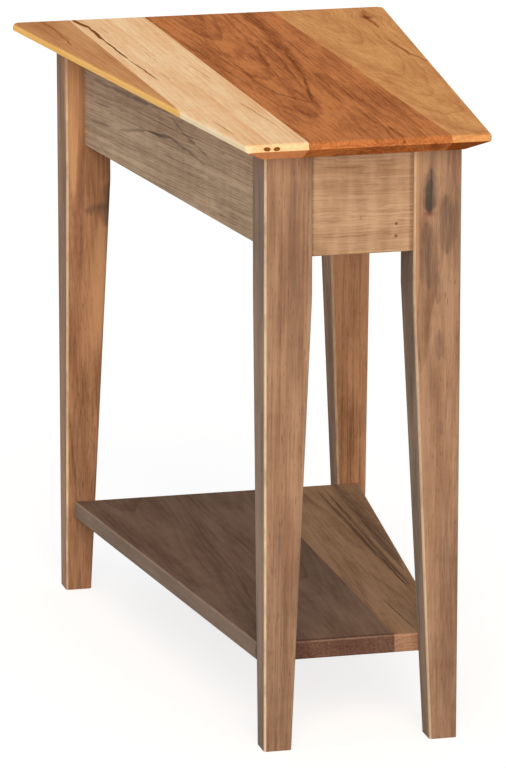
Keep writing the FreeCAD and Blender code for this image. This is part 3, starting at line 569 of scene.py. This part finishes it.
def wood_material(name, board, colours, finish):
    """The material of one board, sawn from its own log."""
    shared_groups()
    material, tree = empty_material(name)
    place = tree.add("ShaderNodeTexCoord").outputs["Object"]
    seed = board.seed
    bent, knots = place, []
    for knot in board.knots:
        inputs = {
            "Vector": bent, "Centre": mm(*knot.centre), "Size": knot.size * MILLIMETRE,
            "Reach": knot.reach * MILLIMETRE, "Pull": knot.pull, "Seed": seed,
        }
        found = tree.group("Knot", inputs)
        bent = found["Vector"]
        knots.append((knot, found))
    turn = tuple(math.radians(angle) for angle in board.turn)
    log = tree.add("ShaderNodeMapping", {
        "Vector": bent, "Location": mm(*board.heart), "Rotation": turn,
    }, vector_type="TEXTURE").outputs["Vector"]
    rings = tree.group("Log Rings", {
        "Vector": log, "Ring Width": board.ring_width * MILLIMETRE, "Waver": board.waver * MILLIMETRE,
        "Waver Length": board.waver_length * MILLIMETRE, "Waver Breadth": board.waver_breadth * MILLIMETRE,
        "Seed": seed,
    })
    fibre = tree.group("Wood Fibre", {
        "Vector": log, "Pore Share": board.pore_share, "Pore Length": board.pore_length * MILLIMETRE,
        "Seed": seed,
    })
    colour = tree.group("Wood Colour", {
        "Line": rings["Line"], "Tone": rings["Tone"], "Fibre": fibre["Fibre"], "Pores": fibre["Pores"],
        "Mottle": fibre["Mottle"], "Curl": fibre["Curl"], "Line Strength": board.line,
        "Fibre Strength": board.fibre, "Mottle Strength": board.mottle, "Curl Strength": board.curl,
        "Pore Strength": board.pores, "Depth": board.depth,
        "Light": getattr(colours, board.wood + "_light"), "Dark": getattr(colours, board.wood + "_dark"),
    })["Color"]
    edge = tree.group("Eased Edge", {"Vector": place, "Seed": seed})
    # Tints screened or multiplied by the way a face looks: the top's lighter rims and darker bevels are
    # painted highlight and painted shade, the legs' cool sides painted reflection
    for way, kind, name in zip(("Side", "End", "Under"), ("SCREEN", "SCREEN", "MULTIPLY"), board.edges):
        tinted = tree.blend(1.0, colour, getattr(colours, name), kind)
        colour = tree.blend(edge[way], colour, tinted)
    for number, streak in enumerate(board.streaks):
        mask = tree.group("Dark Streak", {
            "Vector": bent, "Start": mm(*streak.start), "End": mm(*streak.end),
            "Width": streak.width * MILLIMETRE, "Wander": streak.wander * MILLIMETRE,
            "Softness": streak.softness, "Seed": seed + number,
        })["Mask"]
        grained = tree.times(mask, tree.maths("MULTIPLY_ADD", fibre["Fibre"], 0.5, 0.5))
        depth = tree.times(grained, streak.strength)
        colour = tree.blend(depth, colour, getattr(colours, streak.colour))
    for knot, found in knots:
        tint = getattr(colours, knot.colour)
        colour = tree.blend(tree.times(found["Halo"], knot.halo), colour, tint)
        eye = tree.times(found["Eye"], knot.eye)
        colour = tree.blend(eye, colour, tree.blend(0.6, tint, KNOT_HEART))
    if hasattr(colours, "worn"):
        worn = tree.blend(1.0, colour, colours.worn, kind="SCREEN")
        colour = tree.blend(tree.times(edge["Worn"], finish.edge_wear), colour, worn)
    satin = tree.group("Satin Finish", {
        "Vector": log, "Line": rings["Line"], "Fibre": fibre["Fibre"], "Pores": fibre["Pores"],
        "Roughness": finish.roughness, "Seed": seed,
    })
    bump = tree.add("ShaderNodeBump", {"Height": satin["Height"], "Distance": finish.relief, "Strength": 0.5})
    close_material(tree, {
        "Base Color": colour, "Roughness": satin["Roughness"], "Normal": bump.outputs["Normal"],
        "Specular IOR Level": finish.shine,
    })
    return material


def zinc_material(name, finish):
    """The material of the clips and screws."""
    shared_groups()
    material, tree = empty_material(name)
    place = tree.add("ShaderNodeTexCoord").outputs["Object"]
    plate = tree.group("Zinc Plate", {"Vector": place, "Color": finish.zinc})
    bump = tree.add("ShaderNodeBump", {"Height": plate["Height"], "Distance": STEEL_RELIEF, "Strength": 0.4})
    close_material(tree, {
        "Base Color": plate["Color"], "Roughness": plate["Roughness"], "Metallic": 1.0,
        "Normal": bump.outputs["Normal"],
    })
    return material


def dress(node, material):
    """Gives a node of the frame its material."""
    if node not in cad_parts:
        raise RuntimeError(f"the frame has no node named {node}")
    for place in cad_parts[node].material_slots:
        place.material = material


def dress_boards(boards, context, settings):
    """Gives each board its own log's material, in those settings' colours. Returns an operator's result."""
    colours = getattr(context.scene, settings)
    for node, board in boards.items():
        dress(node, wood_material(node + "_wood", board, colours, context.scene.wedge_table_finish))
    return {"FINISHED"}


def on_level(height, *rows):
    """Streaks on a level face: each row has x and y of its start and its end, and the rest of a Streak."""
    return tuple(Streak((x, y, height), (to_x, to_y, height), *rest) for x, y, to_x, to_y, *rest in rows)


def on_front(depth, *rows):
    """Streaks on a face that looks to the front, with x and z in each row instead."""
    return tuple(Streak((x, depth, z), (to_x, depth, to_z), *rest) for x, z, to_x, to_z, *rest in rows)


# Turns of a log that lies along the table or stands, and the side aprons' slant, in degrees
ALONG_TABLE = 90.0
UPRIGHT = -90.0
SIDE_SLANT = 6.57
# Where the faces that carry most streaks lie, in millimetres
TOP_FACE, SHELF_FACE = 610, 100
LEG_FACE, APRON_FACE = -326, -323

# The dark flame on the left apron's outer face, just under the top's rim: grain that is partly painted shadow
# of the rim
SIDE_STREAKS = tuple(
    Streak(start, end, width, "smoky", strength, 4, 0.9)
    for start, end, width, strength in (
        ((-145, 230, 570), (-137, 164, 570), 3.5, 0.53),
        ((-138, 170, 570), (-129, 93, 573), 4.1, 0.58),
        ((-130, 105, 572), (-123, 47, 574), 4.1, 0.7),
        ((-125, 59, 574), (-115, -30, 578), 3.0, 0.58),
        ((-135, 146, 530), (-123, 48, 547), 2.4, 0.58),
        ((-125, 60, 545), (-116, -21, 552), 3.0, 0.78),
        ((-117, -12, 552), (-110, -68, 548), 2.7, 0.7),
        ((-111, -59, 549), (-105, -117, 543), 2.4, 0.58),
        ((-116, -15, 574), (-112, -53, 563), 2.2, 0.58),
        ((-113, -45, 564), (-107, -94, 558), 2.4, 0.7),
        ((-108, -85, 559), (-103, -134, 550), 2.2, 0.58),
        ((-146, 241, 524), (-137, 165, 528), 2.4, 0.53),
        ((-145, 234, 545), (-137, 164, 549), 2.4, 0.47),
    )
)

TOP_BOARDS = {
    "top_board_left": Board(
        "honey", (-230, 0, 560), (0, 1, ALONG_TABLE + 1.5), 1.3, ring_width=5.0, waver=6,
        waver_length=240, line=0.35, fibre=0.45, mottle=0.6, pore_share=0.2, pore_length=50,
        edges=("gold_rim_highlight", "end_rim", "warm_bevel_shade"),
        streaks=on_level(
            TOP_FACE,
            (-175, 353, -169, 285, 2.0, "rust", 0.85, 3, 0.7),
            (-170, 300, -170, 215, 2.2, "rust", 0.85, 4, 0.7),
        ) + (
            Streak((-170, 230, 610), (-175, 165, 607), 2.0, "rust", 1.0, 3, 0.7),
        ),
    ),
    "top_board_centre_left": Board(
        "pale", (-150, 0, 500), (0, 0.6, ALONG_TABLE - 1.0), 4.7, ring_width=3.2, waver=3,
        waver_length=300, line=0.25, fibre=0.55, mottle=0.35, pore_share=0.4, pores=0.4, pore_length=70,
        edges=("cream_rim_highlight", "end_rim", "warm_bevel_shade"),
        streaks=on_level(
            TOP_FACE,
            (-140, 355, -131, 288, 3.2, "mineral", 1.7, 4, 0.4),
            (-132, 300, -132, 215, 2.4, "mineral", 1.7, 4, 0.4),
            (-132, 235, -132, 95, 1.6, "mineral", 1.7, 3, 0.5),
            (-132, 115, -127, -15, 1.2, "mineral", 1.5, 4, 0.5),
            (-120, 300, -119, 255, 1.4, "mineral", 0.4),
            (-108, 190, -104, 20, 0.9, "mineral", 0.4, 4),
            (-79, 75, -74, -25, 1.1, "mineral", 0.5),
            (-117, 34, -114, -10, 1.2, "mineral", 0.5),
            (-102, -20, -100, -62, 1.6, "mineral", 0.4, 3, 0.8),
            (-76, -140, -70, -258, 1.7, "mineral", 0.6, 4),
            (-124, -220, -120, -298, 1.5, "mineral", 0.55),
        ) + (
            Streak((-105.2, -350, 606), (-97.6, -350, 605.4), 2.2, "mineral", 2.0, 1.2, 0.3),
            Streak((-95.4, -350, 605.3), (-88.4, -350, 606), 2.2, "mineral", 2.0, 1.2, 0.3),
        ),
    ),
    "top_board_centre_right": Board(
        "reddish", (-20, -60, 548), (0, -2.0, ALONG_TABLE - 1.0), 7.1, ring_width=3.4, waver_length=300,
        waver_breadth=36, line=0.42, fibre=0.7, mottle=0.6, pore_share=0.5, pore_length=60,
        edges=("red_rim", "red_rim", "red_bevel_shade"),
        streaks=on_level(
            TOP_FACE,
            (51, 360, 45, 225, 10, "smoky", 0.55, 8, 0.9),
            (46, 260, 38, 105, 12, "smoky", 0.55, 10, 0.9),
            (41, 135, 14, -55, 8, "smoky", 0.5, 8, 0.9),
            (40, 150, 16, -50, 2, "smoky", 0.6, 6, 0.7),
            (19, -25, -7, -160, 3, "smoky", 0.8, 4, 0.7),
            (-24, 205, -32, 75, 2.2, "smoky", 0.5, 6, 0.8),
            (-31, 100, -34, -55, 2.4, "smoky", 0.65, 5, 0.8),
            (-34, -40, -30, -112, 2.2, "smoky", 0.6, 5, 0.8),
            (-32, -100, -6, -163, 2.6, "smoky", 0.75, 4, 0.7),
            (17, 165, 3, 80, 2, "smoky", 0.45, 5, 0.8),
            (4, 90, -10, -66, 2, "smoky", 0.5, 5, 0.8),
            (36, 0, 20, -175, 9, "smoky", 0.5, 10, 0.95),
            (25, -160, 28, -300, 7, "smoky", 0.45, 8, 0.95),
        ) + (
            Streak((33, -290, 610), (34, -362, 606), 5, "smoky", 0.8, 4, 0.8),
            Streak((64, -352, 604), (72, -328, 590), 15, "smoky", 0.75, 3, 1.0),
            Streak((-200, -350, 607), (220, -350, 607), 4.5, "smoky", 0.24, 1, 0.5),
        ),
    ),
    "top_board_right": Board(
        "golden", (112, -150, 552), (0, -4, ALONG_TABLE - 1.0), 11.9, ring_width=3.6, waver=9,
        waver_length=120, line=0.3, fibre=0.5, pore_share=0.25, pore_length=40,
        edges=("end_rim", "end_rim", "gold_bevel_shade"),
        streaks=on_level(
            TOP_FACE,
            (178, 330, 169, 275, 5, "rust", 0.7, 5, 0.9),
            (171, 295, 166, 215, 2.4, "rust", 1.0, 4, 0.7),
            (157, 160, 157, 60, 2.4, "rust", 0.95, 4, 0.7),
            (157, 80, 165, 10, 2.2, "rust", 0.9, 4, 0.7),
            (186, 240, 172, 0, 16, "rust", 0.3, 8, 1.0),
        ),
        knots=(Knot((171, 287, 610), 4.0, 26, "smoky", 0.7, 0.45, 0.6),),
    ),
}

# What boards of one kind share
LEG_GRAIN = {"pore_share": 0.45, "pore_length": 12, "edges": ("side_reflection_tint", "plain_end", "plain_under")}

LEGS = {
    "front_left_leg": Board(
        "leg", (-130, -290, 300), (0, UPRIGHT + 1.0, 20), 2.1, ring_width=3.0, waver=4,
        waver_length=260, line=0.2, fibre=0.46, mottle=0.75, **LEG_GRAIN,
        streaks=on_front(
            LEG_FACE,
            (-84, 240, -86, -120, 26, "smoky", 0.3, 10, 1.0),
            (-70, 600, -66, 430, 9, "smoky", 0.2, 8, 1.0),
        ),
    ),
    "front_right_leg": Board(
        "leg", (60, -260, 300), (0, UPRIGHT - 1.5, 80), 5.3, ring_width=3.2, waver=6,
        waver_length=220, line=0.3, fibre=0.46, mottle=0.75, **LEG_GRAIN,
        streaks=on_front(
            LEG_FACE,
            (70, 604, 66.5, 548, 6.5, "smoky", 0.5, 3, 1.0),
            (67, 576, 65.8, 526, 11.0, "smoky", 0.8, 2, 1.0),
            (66.2, 564, 65.6, 528, 9.0, "smoky", 0.8, 2, 0.95),
            (65.8, 550, 65.2, 530, 7.5, "smoky", 0.6, 2, 0.95),
            (59, 530, 73, 529, 4.2, "flush", 0.5, 1.5, 0.9),
            (61, 533, 60, 500, 5, "flush", 0.45, 3, 1.0),
        ) + (
            # Painted shade: a broad dark patch on the leg's inner left face, which faces the other legs
            Streak((50, -302, 530), (60, -300, 300), 24, "smoky", 0.5, 4, 1.0),
        ) + on_front(
            LEG_FACE,
            (63, 524, 66, 452, 14, "smoky", 0.56, 5, 1.0),
            (82, 550, 84, 486, 13, "smoky", 0.56, 5, 1.0),
            (90, 600, 92, 470, 7, "smoky", 0.3, 5, 1.0),
            (74, 474, 75, 438, 6, "smoky", 0.45, 2, 1.0),
            (76, 416, 77, 382, 6, "smoky", 0.4, 2, 1.0),
            (53, 640, 53.5, 420, 4, "sapwood_and_light", 0.45, 1.5, 0.9),
            (86, 260, 88, -120, 26, "smoky", 0.22, 10, 1.0),
        ),
    ),
    "back_left_leg": Board(
        "back_leg", (-190, 320, 300), (0, UPRIGHT + 0.8, 50), 8.9, ring_width=3.1, waver=4,
        waver_length=260, line=0.3, fibre=0.5, mottle=0.8, **LEG_GRAIN,
        streaks=(
            # Painted light: a broad pale patch on the upper front face, lifting the shadow that the top casts
            # there
            Streak((-156, 252, 820), (-160, 252, 425), 18, "sapwood_and_light", 1.1, 3, 1.0),
            Streak((-120, 252, 456), (-125, 254, 402), 11, "smoky", 0.75, 3, 1.0),
            # Painted shade: a dark line across the front face just under the left apron
            Streak((-118, 252, 427), (-150, 252, 421), 9, "smoky", 0.6, 3, 1.0),
            Streak((-131, 252, 418), (-136, 258, 250), 12, "sapwood_and_light", 0.55, 4, 1.0),
            Streak((-152, 252, 520), (-155, 256, 260), 7, "flush", 0.5, 4, 1.0),
            Streak((-150, 252, 480), (-152, 256, 300), 4, "smoky", 0.35, 4, 1.0),
            Streak((-150, 262, 260), (-155, 272, -120), 26, "smoky", 0.28, 10, 1.0),
        ),
    ),
    "back_right_leg": Board(
        "back_leg", (190, 240, 300), (0, UPRIGHT + 1.2, 10), 12.4, ring_width=2.8, waver=5,
        waver_length=240, line=0.35, fibre=0.5, mottle=0.8, **LEG_GRAIN,
        streaks=(
            Streak((150, 252, 490), (147, 255, 300), 6, "flush", 0.45, 4, 1.0),
            Streak((160, 252, 490), (152, 256, 230), 5, "smoky", 0.4, 5, 1.0),
            Streak((140, 256, 330), (143, 262, 90), 7, "flush", 0.35, 4, 1.0),
        ),
    ),
}

SIDE_GRAIN = {
    "waver": 9, "waver_length": 150, "waver_breadth": 22, "line": 0.4, "fibre": 0.5, "pore_share": 0.5,
    "pore_length": 30,
}

APRONS = {
    "front_apron": Board(
        "end_apron", (0, -270, 560), (0, 1.0, 0.5), 3.7, ring_width=1.9, waver=6,
        waver_length=26, waver_breadth=9, line=0.32, fibre=0.4, mottle=0.5, curl=0.35, pore_length=14,
        streaks=on_front(
            APRON_FACE,
            (33.8, 523, 32.9, 519.5, 2.3, "pin", 0.9, 0.8, 0.7),
            (32.4, 511, 34, 507.5, 2.6, "pin", 0.95, 0.8, 0.7),
            # Painted shade: soft dark strips down both ends of the front apron, where it sits back from the
            # legs
            (48.6, 640, 48.6, 440, 3.6, "pin", 0.55, 0.5, 0.9),
            (-49.4, 640, -49.4, 440, 1.8, "pin", 0.5, 0.5, 0.9),
            (-2, 531, -1.8, 525, 1.6, "pin", 0.4, 0.8, 0.8),
            (-45, 579.5, 8, 578, 0.9, "pin", 0.6, 1.5, 0.6),
            (-20, 572, 52, 571, 0.8, "pin", 0.4, 1.5, 0.6),
        ),
    ),
    "back_apron": Board(
        "end_apron", (20, 260, 480), (0, 1.0, 0.5), 6.2, ring_width=3.0, waver_length=90,
        line=0.4, curl=0.2,
    ),
    "left_apron": Board(
        "side_apron", (-60, 0, 650), (0, 1.5, ALONG_TABLE + SIDE_SLANT), 9.6,
        ring_width=2.4, **SIDE_GRAIN, streaks=SIDE_STREAKS,
    ),
    "right_apron": Board(
        "side_apron", (60, 0, 640), (0, -1.5, ALONG_TABLE - SIDE_SLANT), 14.3,
        ring_width=2.6, **SIDE_GRAIN,
    ),
}

# The brown boards, with the dark stain of their front end
BROWN_GRAIN = {
    "ring_width": 3.2, "waver_length": 220, "line": 0.35, "fibre": 0.34, "mottle": 0.55,
    "edges": ("side_rim", "end_rim", "bottom"),
    "streaks": (Streak((-200, -294.4, 90), (200, -294.4, 90), 14, "end_grain", 0.75, 1, 0.25),),
}

SHELF_BOARDS = {
    "shelf_board_left": Board(
        "brown", (-100, 0, 30), (0, -2, ALONG_TABLE + 1.0), 1.9, depth=0.38, **BROWN_GRAIN,
    ),
    "shelf_board_centre": Board(
        "brown", (0, 0, 20), (0, -2, ALONG_TABLE - 1.0), 4.4, depth=0.2, **BROWN_GRAIN,
    ),
    "shelf_board_right": Board(
        "tan", (70, 0, 30), (0, 1.5, ALONG_TABLE - 1.5), 7.7, ring_width=3.0, waver=6,
        waver_length=240, line=0.4, fibre=0.55, mottle=0.45, edges=("side_rim", "tan_end_rim", "bottom"),
        streaks=on_level(
            SHELF_FACE,
            (106, 262, 101, -150, 4.2, "streak", 0.8, 2.5, 0.85),
            (115, 262, 104, -155, 3.4, "streak", 0.8, 2.5, 0.85),
            (122, 130, 114, -80, 4.5, "streak", 0.6, 2.5, 0.9),
            (132, 300, 118, -60, 16, "streak", 0.6, 8, 0.95),
            (64, -160, 68, -290, 1.5, "streak", 0.7, 3, 0.7),
        ),
    ),
}

GLUE_BLOCKS = {
    "front_left_glue_block": Board("bare", (-60, -240, 500), (0, UPRIGHT, 0), 3.1, waver=3),
    "front_right_glue_block": Board("bare", (60, -250, 500), (0, UPRIGHT, 0), 5.8, waver=3),
    "back_left_glue_block": Board("bare", (-140, 230, 500), (0, UPRIGHT, 0), 8.2, waver=3),
    "back_right_glue_block": Board("bare", (140, 220, 500), (0, UPRIGHT, 0), 9.9, waver=3),
    "shelf_dowels": Board("bare", (10, 0, 60), (0, 0, 0), 6.6, ring_width=2.0, waver=2),
}

FASTENERS = ("tabletop_clips", "clip_screws")


# Operators

class Step:
    """What all the operators share."""

    bl_options = {"REGISTER", "UNDO"}


class WEDGETABLE_OT_finish_top(Step, bpy.types.Operator):
    """Give the four boards of the top their oiled wood"""

    bl_idname = "wedge_table.finish_top"
    bl_label = "Finish Top Boards"

    def execute(self, context):
        return dress_boards(TOP_BOARDS, context, "wedge_table_top")


class WEDGETABLE_OT_finish_legs(Step, bpy.types.Operator):
    """Give the four legs their stained wood"""

    bl_idname = "wedge_table.finish_legs"
    bl_label = "Finish Legs"

    def execute(self, context):
        return dress_boards(LEGS, context, "wedge_table_frame")


class WEDGETABLE_OT_finish_aprons(Step, bpy.types.Operator):
    """Give the four aprons their stained wood"""

    bl_idname = "wedge_table.finish_aprons"
    bl_label = "Finish Aprons"

    def execute(self, context):
        return dress_boards(APRONS, context, "wedge_table_frame")


class WEDGETABLE_OT_finish_shelf(Step, bpy.types.Operator):
    """Give the three boards of the shelf their dark wood"""

    bl_idname = "wedge_table.finish_shelf"
    bl_label = "Finish Shelf"

    def execute(self, context):
        return dress_boards(SHELF_BOARDS, context, "wedge_table_shelf")


class WEDGETABLE_OT_finish_glue_blocks(Step, bpy.types.Operator):
    """Give the glue blocks and dowels their bare wood"""

    bl_idname = "wedge_table.finish_glue_blocks"
    bl_label = "Finish Glue Blocks and Dowels"

    def execute(self, context):
        return dress_boards(GLUE_BLOCKS, context, "wedge_table_finish")


class WEDGETABLE_OT_plate_fasteners(Step, bpy.types.Operator):
    """Give the clips and screws their zinc plate"""

    bl_idname = "wedge_table.plate_fasteners"
    bl_label = "Plate Clips and Screws"

    def execute(self, context):
        material = zinc_material("zinc_plated_steel", context.scene.wedge_table_finish)
        for node in FASTENERS:
            dress(node, material)
        return {"FINISHED"}


# How far the floor lies under the feet, so that the two don't share a plane
FLOOR_GAP = MILLIMETRE / 4


def seen_directly(tree):
    """1 for a ray from the camera, a mirror or glass, and 0 for the light that falls on the table."""
    path = tree.add("ShaderNodeLightPath").outputs
    seen = tree.maths("MAXIMUM", path["Is Camera Ray"], path["Is Glossy Ray"])
    return tree.maths("MAXIMUM", seen, path["Is Transmission Ray"])


class WEDGETABLE_OT_set_stage(Step, bpy.types.Operator):
    """Set up the white floor, the soft light and the camera"""

    bl_idname = "wedge_table.set_stage"
    bl_label = "Set Up Studio"

    def execute(self, context):
        studio = context.scene.wedge_table_studio
        self.lay_floor(context, studio)
        self.light_room(context, studio)
        self.stand_camera(context, studio)
        context.scene.view_settings.view_transform = "Standard"
        return {"FINISHED"}

    def lay_floor(self, context, studio):
        """A white floor that keeps the table's shadow."""
        half = studio.floor_width / 2
        mesh = bpy.data.meshes.new("floor")
        corners = [(-half, -half, 0), (half, -half, 0), (half, half, 0), (-half, half, 0)]
        mesh.from_pydata(corners, [], [(0, 1, 2, 3)])
        floor = bpy.data.objects.new("floor", mesh)
        floor.location.z = -FLOOR_GAP
        context.scene.collection.objects.link(floor)
        material, tree = empty_material("white_floor")
        seen = seen_directly(tree)
        lift = tree.times(seen, studio.floor_glow)
        close_material(tree, {
            "Base Color": tree.blend(seen, studio.floor, studio.floor_seen), "Roughness": 0.9,
            "Specular IOR Level": 0.0, "Emission Color": WHITE, "Emission Strength": lift,
        })
        mesh.materials.append(material)

    def light_room(self, context, studio):
        """An even white room and one large soft lamp."""
        world = bpy.data.worlds.new("white_room")
        world.use_nodes = True
        world.node_tree.nodes.clear()
        tree = Tree(world.node_tree)
        seen = seen_directly(tree)
        strength = tree.smooth(seen, 0.0, 1.0, studio.fill, 1.0)
        tint = tree.blend(seen, studio.fill_tint, WHITE)
        shade = tree.add("ShaderNodeBackground", {"Color": tint, "Strength": strength})
        tree.add("ShaderNodeOutputWorld", {"Surface": shade.outputs["Background"]})
        context.scene.world = world
        lamp = bpy.data.lights.new("soft_lamp", "SUN")
        lamp.angle = studio.key_spread
        lamp.energy = studio.key
        lamp.color = studio.key_tint[:3]
        holder = bpy.data.objects.new("soft_lamp", lamp)
        holder.rotation_euler = Vector(studio.key_heading).to_track_quat("Z", "Y").to_euler()
        context.scene.collection.objects.link(holder)

    def stand_camera(self, context, studio):
        """The camera, where the photographer stood."""
        lens = bpy.data.cameras.new("camera")
        lens.lens = studio.lens
        lens.clip_end = studio.floor_width
        camera = bpy.data.objects.new("camera", lens)
        camera.location = studio.stand
        camera.rotation_euler = (math.pi / 2 - studio.tilt, 0.0, -studio.turn)
        context.scene.collection.objects.link(camera)
        context.scene.camera = camera


OPERATORS = (
    WEDGETABLE_OT_finish_top, WEDGETABLE_OT_finish_legs, WEDGETABLE_OT_finish_aprons,
    WEDGETABLE_OT_finish_shelf, WEDGETABLE_OT_finish_glue_blocks, WEDGETABLE_OT_plate_fasteners,
    WEDGETABLE_OT_set_stage,
)
SETTINGS = {
    "wedge_table_top": WedgeTableTop, "wedge_table_frame": WedgeTableFrame,
    "wedge_table_shelf": WedgeTableShelf, "wedge_table_finish": WedgeTableFinish,
    "wedge_table_studio": WedgeTableStudio,
}


class WEDGETABLE_PT_looks(bpy.types.Panel):
    """Sidebar panel with every step of the table's looks and its settings"""

    bl_idname = "WEDGETABLE_PT_looks"
    bl_label = "Wedge Table"
    bl_space_type = "VIEW_3D"
    bl_region_type = "UI"
    bl_category = "Wedge Table"

    def draw(self, context):
        for operator in OPERATORS:
            self.layout.operator(operator.bl_idname)
        for name, settings in SETTINGS.items():
            box = self.layout.box()
            box.label(text=settings.__doc__)
            for setting in settings.__annotations__:
                box.prop(getattr(context.scene, name), setting)


CLASSES = (*SETTINGS.values(), *OPERATORS, WEDGETABLE_PT_looks)


def register():
    """Adds the settings, operators and panel."""
    for item in CLASSES:
        bpy.utils.register_class(item)
    for name, settings in SETTINGS.items():
        setattr(bpy.types.Scene, name, PointerProperty(type=settings))


def unregister():
    """Takes them away again."""
    for name in SETTINGS:
        delattr(bpy.types.Scene, name)
    for item in reversed(CLASSES):
        bpy.utils.unregister_class(item)


def main():
    """Dresses the whole table and sets the stage."""
    register()
    bpy.ops.wedge_table.set_stage()
    bpy.ops.wedge_table.finish_top()
    bpy.ops.wedge_table.finish_legs()
    bpy.ops.wedge_table.finish_aprons()
    bpy.ops.wedge_table.finish_shelf()
    bpy.ops.wedge_table.finish_glue_blocks()
    bpy.ops.wedge_table.plate_fasteners()


if __name__ == "__main__":
    main()
